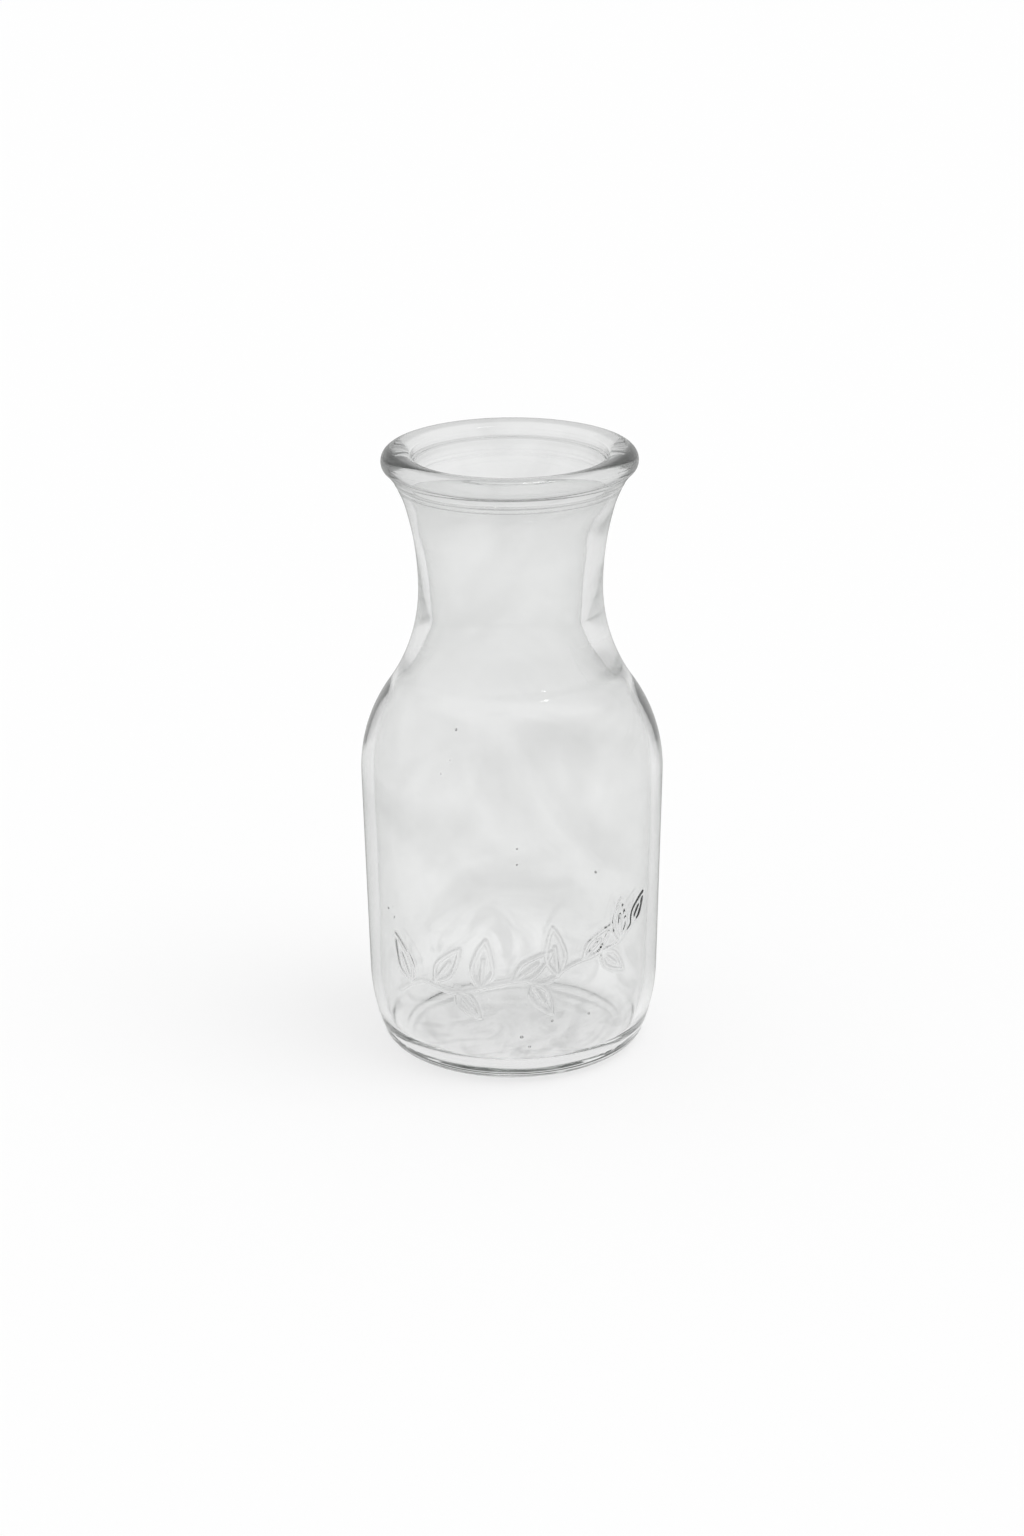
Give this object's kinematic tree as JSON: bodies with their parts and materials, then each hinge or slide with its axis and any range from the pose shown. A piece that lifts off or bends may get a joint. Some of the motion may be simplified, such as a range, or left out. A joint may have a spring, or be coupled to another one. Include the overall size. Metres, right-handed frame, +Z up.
{
  "type": "milk bottle",
  "caption": "Small wide-mouthed milk bottle of clear glass with a beaded lip, a waisted neck, a round shoulder and a tapered body; it stands on a ring and holds a drink.",
  "frame": {"origin": "centre of the ring that the bottle stands on, in the plane of the table", "axes": "+Z up through the mouth, -Y towards the picture's camera, +X to the picture's right"},
  "size_m": [0.0684, 0.0684, 0.14],
  "materials": {
    "clear_glass": "clear, almost colourless soda-lime glass, smooth and glossy"
  },
  "bodies": {
    "root": {"glass_bottle": "clear_glass"}
  },
  "joints": []
}
